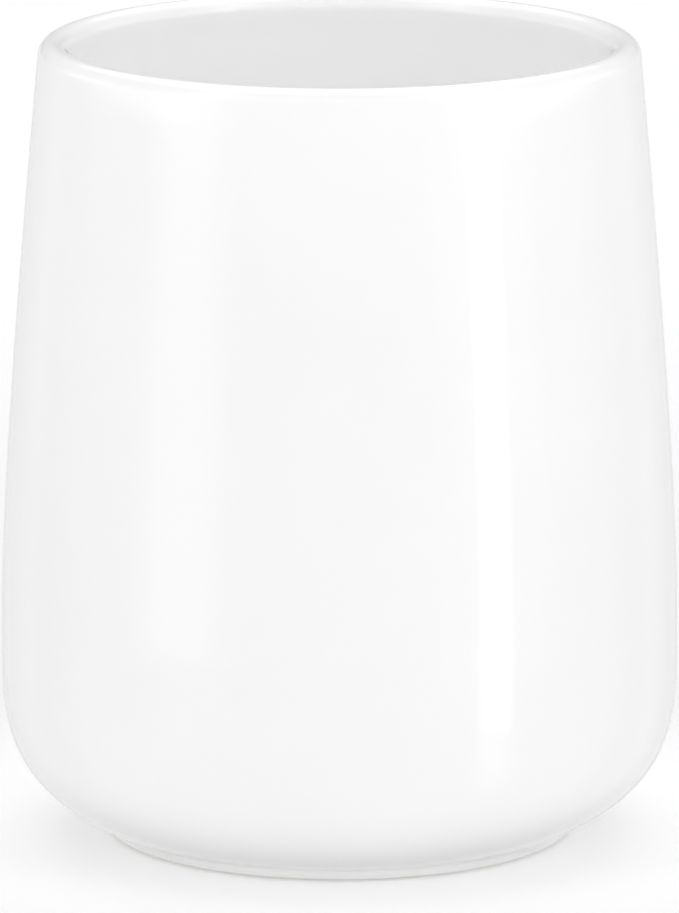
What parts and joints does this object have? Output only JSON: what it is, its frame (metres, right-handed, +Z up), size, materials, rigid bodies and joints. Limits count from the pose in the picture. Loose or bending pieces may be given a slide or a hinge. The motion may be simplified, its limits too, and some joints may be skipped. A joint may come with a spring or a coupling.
{
  "type": "pen holder cup",
  "caption": "Round porcelain pen cup with a tapered wall, rounded lip, low full belly, foot ring and a non-slip pad under the base.",
  "frame": {"origin": "on the table, at the middle of the base pad's underside", "axes": "+Z up through the mouth, the cup is round about Z, X and Y are any two level directions"},
  "size_m": [0.0848, 0.0848, 0.1002],
  "materials": {
    "glaze": "white, clear gloss glaze",
    "pad": "matt grey silicone"
  },
  "bodies": {
    "root": {"cup_body": "glaze", "base_pad": "pad"}
  },
  "joints": []
}
